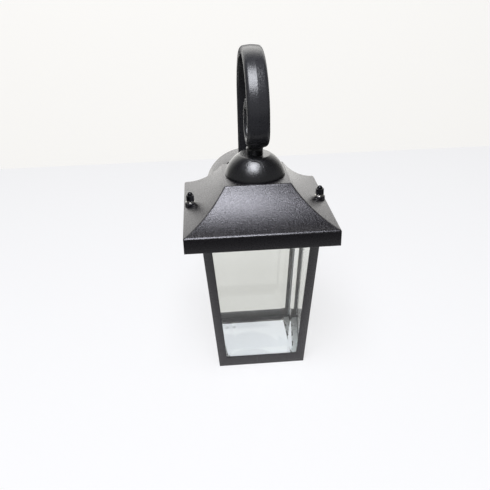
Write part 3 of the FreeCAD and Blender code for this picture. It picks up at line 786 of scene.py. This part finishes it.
for side in ("left", "right"):
    makeNut(side)
    makeWasher(side)
print("nuts done")


# Lamp holder and what hangs it from the tube

holder = {"cavity": 14.2, "cavityRound": 0.5, "recess": 5.5, "recessDeep": 1.7, "lipRound": 1.6,
          "topRound": 2.2, "waist": 0.62, "groove": 0.7, "grooveBed": 1.4, "grooveEdge": 2.0, "steps": 96}


def makeHolder():
    base, top, radius = turnedSize("lamp_holder")[1:]
    ceiling = heightOf(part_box("centre_contact")[1].z)
    waist = base + holder["waist"] * (top - base)
    bed = radius - holder["groove"]
    recess = top - holder["recessDeep"]
    profile = [(0.0, ceiling), (holder["cavity"], ceiling), (holder["cavity"], base), (radius, base),
               (radius, waist - holder["grooveEdge"]), (bed, waist - holder["grooveBed"]),
               (bed, waist + holder["grooveBed"]), (radius, waist + holder["grooveEdge"]), (radius, top),
               (holder["recess"], top), (holder["recess"], recess), (0.0, recess)]
    rounds = [(radius, base, holder["lipRound"], 4), (holder["cavity"], base, holder["cavityRound"], 2),
              (radius, top, holder["topRound"], 4)]
    piece = turn("porcelain_holder", profile, holder["steps"], rounds)
    finishPiece(piece, porcelain, ["lamp_holder"])


shell = {"pitch": 3.62, "threadDeep": 0.55, "wall": 0.3, "spare": 0.02, "steps": 56, "waveSteps": 8}


def makeShell():
    # Sheet brass rolled with a lamp thread: one wave of the thread, drawn above the shell, is screwed down
    # round the axis and cut level at both ends.
    base, top, radius = turnedSize("screw_shell")[1:]
    wave = []
    for i in range(shell["waveSteps"] + 1):
        swing = 0.5 - 0.5 * math.cos(2.0 * math.pi * i / shell["waveSteps"])
        wave.append(spot(radius - shell["spare"] - shell["threadDeep"] * swing, 0.0,
                         top + shell["pitch"] * i / shell["waveSteps"]))
    piece = drawProfile("thread_shell", wave)
    turns = int((top - base) / shell["pitch"]) + 2
    bpy.ops.mesh.screw(steps=shell["steps"], turns=turns, center=spot(0.0, 0.0, 0.0), axis=(0.0, 0.0, 1.0))
    bpy.ops.mesh.select_all(action="SELECT")
    bpy.ops.mesh.remove_doubles(threshold=2.0 * near)
    for level, up in ((base + shell["spare"], -1.0), (top - shell["spare"], 1.0)):
        bpy.ops.mesh.select_all(action="SELECT")
        bpy.ops.mesh.bisect(plane_co=spot(0.0, 0.0, level), plane_no=(0.0, 0.0, up), clear_outer=True)
    mendNormals()
    only(piece)
    modifier = piece.modifiers.new("sheet", "SOLIDIFY")
    modifier.thickness = shell["wall"] * mm
    modifier.offset = -1.0
    bpy.ops.object.modifier_apply(modifier=modifier.name)
    finishPiece(piece, brass, ["screw_shell"], smooth=50.0)


strap = {"edgeRound": 0.3}


def makeStrap():
    piece = copyNode("socket_strap", "holder_strap")
    roundEdges(piece, strap["edgeRound"], 2, 40.0)
    finishPiece(piece, zincSteel, ["socket_strap"])


strapScrew = {"shank": 1.6, "tip": 1.2, "point": 0.5, "headEdge": 0.6, "headSlope": 0.8, "headRound": 0.4,
              "steps": 28, "slot": (7.0, 0.7, 1.6)}


def makeStrapScrews():
    low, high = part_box("strap_screws")
    strapTop = heightOf(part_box("socket_strap")[1].z)
    head = heightOf(high.z)
    tip = heightOf(low.z)
    radius = (high.y - low.y) / 2.0 / mm
    pair = []
    for x in (low.x / mm + radius, high.x / mm - radius):
        flat = radius - strapScrew["headSlope"]
        profile = [(0.0, tip), (strapScrew["tip"], tip), (strapScrew["shank"], tip + strapScrew["point"]),
                   (strapScrew["shank"], strapTop), (radius, strapTop),
                   (radius, head - strapScrew["headEdge"]), (flat, head), (0.0, head)]
        rounds = [(flat, head, strapScrew["headRound"], 2)]
        piece = turn("strap_screw", profile, strapScrew["steps"], rounds, x=x)
        cutSlot(piece, spot(x, 0.0, head), strapScrew["slot"])
        pair.append(piece)
    finishPiece(joinPieces(pair, "strap_screw_pair"), zincSteel, ["strap_screws"])


makeHolder()
makeShell()
makeStrap()
makeStrapScrews()
print("lamp holder done")


# Sealant: uneven beads in the cage's corners and two drops on the bottom pane

bead = {"voxel": 0.55, "skinPasses": 4, "lumps": 0.35, "lumpMm": 5.0}
drops = {"spots": ((-36.6, 24.0, 2.8, 2.6, 1.5), (-29.2, 24.6, 2.7, 2.5, 1.6)), "lumps": 0.2, "lumpMm": 1.6}
smear = {"outside": 46.0, "inside": 38.6, "front": -42.0, "back": 40.0, "sunk": 0.1, "high": 1.2, "steps": 22,
         "waves": ((1.1, 0.31, 1.0), (0.7, 0.83, 2.0))}


def roughen(piece, strength, sizeMm):
    lumps = bpy.data.textures.new(piece.name, "CLOUDS")
    lumps.noise_scale = sizeMm * mm
    only(piece)
    modifier = piece.modifiers.new("lumps", "DISPLACE")
    modifier.texture = lumps
    modifier.texture_coords = "LOCAL"
    modifier.strength = strength * mm
    modifier.mid_level = 0.55
    bpy.ops.object.modifier_apply(modifier=modifier.name)


def makeSmear(side):
    # Sealant wiped along one side of the bottom pane, with an uneven inner edge.
    bottom = heightOf(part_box("bottom_pane")[1].z) - smear["sunk"]
    outline = [spot(side * smear["outside"], smear[end], bottom) for end in ("back", "front")]
    for i in range(smear["steps"] + 1):
        y = smear["front"] + (smear["back"] - smear["front"]) * i / smear["steps"]
        wander = sum(swing * math.sin(pace * y + shift * side) for swing, pace, shift in smear["waves"])
        outline.append(spot(side * (smear["inside"] + wander), y, bottom))
    piece = drawProfile("smear", outline + outline[:1])
    bpy.ops.mesh.edge_face_add()
    bpy.ops.mesh.extrude_region_move(TRANSFORM_OT_translate={"value": (0.0, 0.0, smear["high"] * mm)})
    mendNormals()
    return piece


def makeSealantBeads():
    beads = copyNode("corner_sealant", "beads")
    piece = joinPieces([beads, makeSmear(-1.0), makeSmear(1.0)], "sealant_beads")
    modifier = piece.modifiers.new("gun bead", "REMESH")
    modifier.mode = "VOXEL"
    modifier.voxel_size = bead["voxel"] * mm
    bpy.ops.object.modifier_apply(modifier=modifier.name)
    smoothing = piece.modifiers.new("skin", "SMOOTH")
    smoothing.iterations = bead["skinPasses"]
    bpy.ops.object.modifier_apply(modifier=smoothing.name)
    roughen(piece, bead["lumps"], bead["lumpMm"])
    finishPiece(piece, sealant, ["corner_sealant"], smooth=60.0)


def makeDrops():
    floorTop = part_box("bottom_pane")[1].z
    pair = []
    for x, y, long, wide, high in drops["spots"]:
        bpy.ops.object.select_all(action="DESELECT")
        bpy.ops.mesh.primitive_uv_sphere_add(segments=28, ring_count=16, radius=mm)
        piece = bpy.context.object
        piece.name = "sealant_drop"
        bpy.ops.object.mode_set(mode="EDIT")
        bpy.ops.mesh.select_all(action="SELECT")
        bpy.ops.mesh.bisect(plane_co=(0.0, 0.0, 0.0), plane_no=(0.0, 0.0, -1.0), clear_outer=True,
                            use_fill=True)
        bpy.ops.mesh.select_all(action="SELECT")
        bpy.ops.transform.resize(value=(long, wide, high))
        bpy.ops.object.mode_set(mode="OBJECT")
        piece.location = spot(x, y, heightOf(floorTop))
        bpy.ops.object.transform_apply(location=True, rotation=True, scale=True)
        pair.append(piece)
    piece = joinPieces(pair, "sealant_dabs")
    roughen(piece, drops["lumps"], drops["lumpMm"])
    finishPiece(piece, sealantDrop, ["sealant_drops"], smooth=60.0)


makeSealantBeads()
makeDrops()
print("sealant done")


# Studio

studio = {"wallY": 0.578, "reach": 6.0, "sideFrom": 0.1, "sideTo": 1.0, "sideLeft": 0.08,
          "floor": {"lit": "#848485", "shown": "#fbfbfc", "glow": 0.8, "along": "Y", "middle": -0.2,
                    "from": 0.04, "to": 0.3, "first": 0.86, "last": 0.05},
          "wall": {"lit": "#8a8886", "shown": "#fdfcf9", "glow": 0.83, "along": "Z", "middle": 0.0,
                   "from": 0.85, "to": 1.4, "first": 2.2, "last": 0.1}}


def makeStudioPaint(name, tone):
    # Matt studio paint. It shows pale to the camera and through glass, and it takes shadows. In reflections
    # the floor falls off away from the object, the wall upwards, and both to the sides. From behind it isn't
    # there, so every side of the object shows.
    material, tree, place = newMaterial(name + " paint")
    rays = addNode(tree, "ShaderNodeLightPath")
    seen = addNode(tree, "ShaderNodeMath", settings={"operation": "MAXIMUM"}, links={
        0: rays.outputs["Is Camera Ray"], 1: rays.outputs["Is Transmission Ray"]})
    glow = addNode(tree, "ShaderNodeMath", settings={"operation": "MULTIPLY"}, values={1: tone["glow"]},
                   links={0: seen.outputs["Value"]})
    matt = addNode(tree, "ShaderNodeBsdfPrincipled", values={"Base Color": linear(tone["lit"]),
                   "Roughness": 0.8, "Specular IOR Level": 0.0, "Emission Color": linear(tone["shown"])},
                   links={"Emission Strength": glow.outputs["Value"]})
    axes = addNode(tree, "ShaderNodeSeparateXYZ", links={"Vector": place})
    along = addNode(tree, "ShaderNodeMath", settings={"operation": "SUBTRACT"}, values={1: tone["middle"]},
                    links={0: axes.outputs[tone["along"]]})
    away = addNode(tree, "ShaderNodeMath", settings={"operation": "ABSOLUTE"},
                   links={0: along.outputs["Value"]})
    fade = addNode(tree, "ShaderNodeMapRange", values={"From Min": tone["from"], "From Max": tone["to"],
                   "To Min": tone["first"], "To Max": tone["last"]}, links={"Value": away.outputs["Value"]})
    aside = addNode(tree, "ShaderNodeMath", settings={"operation": "ABSOLUTE"}, links={0: axes.outputs["X"]})
    sides = addNode(tree, "ShaderNodeMapRange", values={"From Min": studio["sideFrom"],
                    "From Max": studio["sideTo"], "To Min": 1.0, "To Max": studio["sideLeft"]},
                    links={"Value": aside.outputs["Value"]})
    strength = addNode(tree, "ShaderNodeMath", settings={"operation": "MULTIPLY"}, links={
        0: fade.outputs["Result"], 1: sides.outputs["Result"]})
    mirrored = addNode(tree, "ShaderNodeEmission", values={"Color": linear(tone["shown"])},
                       links={"Strength": strength.outputs["Value"]})
    bounced = addNode(tree, "ShaderNodeMath", settings={"operation": "SUBTRACT", "use_clamp": True}, links={
        0: rays.outputs["Is Glossy Ray"], 1: rays.outputs["Is Transmission Ray"]})
    front = addNode(tree, "ShaderNodeMixShader", links={0: bounced.outputs["Value"], 1: matt.outputs["BSDF"],
                    2: mirrored.outputs["Emission"]})
    gone = addNode(tree, "ShaderNodeBsdfTransparent")
    side = addNode(tree, "ShaderNodeNewGeometry")
    mixed = addNode(tree, "ShaderNodeMixShader", links={0: side.outputs["Backfacing"],
                    1: front.outputs["Shader"], 2: gone.outputs["BSDF"]})
    addNode(tree, "ShaderNodeOutputMaterial", links={"Surface": mixed.outputs["Shader"]})
    return material


def makeStudio():
    reach = studio["reach"]
    for name, size, centre, lean in (
            ("floor", (2.0 * reach, reach), (0.0, studio["wallY"] - reach / 2.0, cadLow.z), 0.0),
            ("wall", (2.0 * reach, reach), (0.0, studio["wallY"], cadLow.z + reach / 2.0), 90.0)):
        bpy.ops.object.select_all(action="DESELECT")
        bpy.ops.mesh.primitive_plane_add(size=1.0, location=centre, rotation=(math.radians(lean), 0.0, 0.0))
        sheet = bpy.context.object
        sheet.name = name
        sheet.scale = (size[0], size[1], 1.0)
        bpy.ops.object.transform_apply(location=True, rotation=True, scale=True)
        sheet.data.materials.append(makeStudioPaint(name, studio[name]))


air = {"low": 0.26, "high": 0.07, "shown": "#f4f3f2"}


def makeWorld():
    # A dim room, darker overhead. The camera sees it as pale where the floor and wall end.
    world = bpy.data.worlds.new("studio world")
    bpy.context.scene.world = world
    world.use_nodes = True
    tree = world.node_tree
    tree.nodes.clear()
    place = addNode(tree, "ShaderNodeTexCoord")
    axes = addNode(tree, "ShaderNodeSeparateXYZ", links={"Vector": place.outputs["Generated"]})
    ramp = addNode(tree, "ShaderNodeMapRange", values={"From Min": 0.0, "From Max": 0.8, "To Min": air["low"],
                   "To Max": air["high"]}, links={"Value": axes.outputs["Z"]})
    room = addNode(tree, "ShaderNodeBackground", links={"Strength": ramp.outputs["Result"]})
    shown = addNode(tree, "ShaderNodeBackground", values={"Color": linear(air["shown"]), "Strength": 1.0})
    rays = addNode(tree, "ShaderNodeLightPath")
    mixed = addNode(tree, "ShaderNodeMixShader", links={0: rays.outputs["Is Camera Ray"],
                    1: room.outputs["Background"], 2: shown.outputs["Background"]})
    addNode(tree, "ShaderNodeOutputWorld", links={"Surface": mixed.outputs["Shader"]})


camera = {"place": (-0.0566, -0.7796, 0.3051), "forward": (0.0609, 0.889, -0.4539), "roll": -1.45,
          "lens": 43.82}


def makeCamera():
    data = bpy.data.cameras.new("camera")
    data.lens = camera["lens"]
    data.sensor_width = 36.0
    data.clip_start = 0.01
    data.clip_end = 50.0
    stand = bpy.data.objects.new("camera", data)
    stand.rotation_mode = "QUATERNION"
    stand.location = camera["place"]
    aim = Vector(camera["forward"]).to_track_quat("-Z", "Y")
    stand.rotation_quaternion = aim @ Quaternion((0.0, 0.0, 1.0), math.radians(camera["roll"]))
    bpy.context.scene.collection.objects.link(stand)
    bpy.context.scene.camera = stand


softbox = {"distance": 1.5, "rise": 66.0, "left": 16.0, "size": (0.8, 0.95), "power": 25.0,
           "colour": "#f6f8ff"}


def makeSoftbox():
    rise = math.radians(softbox["rise"])
    left = math.radians(softbox["left"])
    away = Vector((-math.sin(left) * math.cos(rise), -math.cos(left) * math.cos(rise), math.sin(rise)))
    lamp = bpy.data.lights.new("softbox", "AREA")
    lamp.shape = "RECTANGLE"
    lamp.size, lamp.size_y = softbox["size"]
    lamp.energy = softbox["power"]
    lamp.color = linear(softbox["colour"])[:3]
    stand = bpy.data.objects.new("softbox", lamp)
    stand.location = spot(0.0, 0.0, 0.0) + away * softbox["distance"]
    stand.rotation_euler = (-away).to_track_quat("-Z", "Y").to_euler()
    bpy.context.scene.collection.objects.link(stand)


makeStudio()
makeWorld()
makeSoftbox()
makeCamera()
bpy.context.scene.view_settings.view_transform = "Standard"
print("studio done")
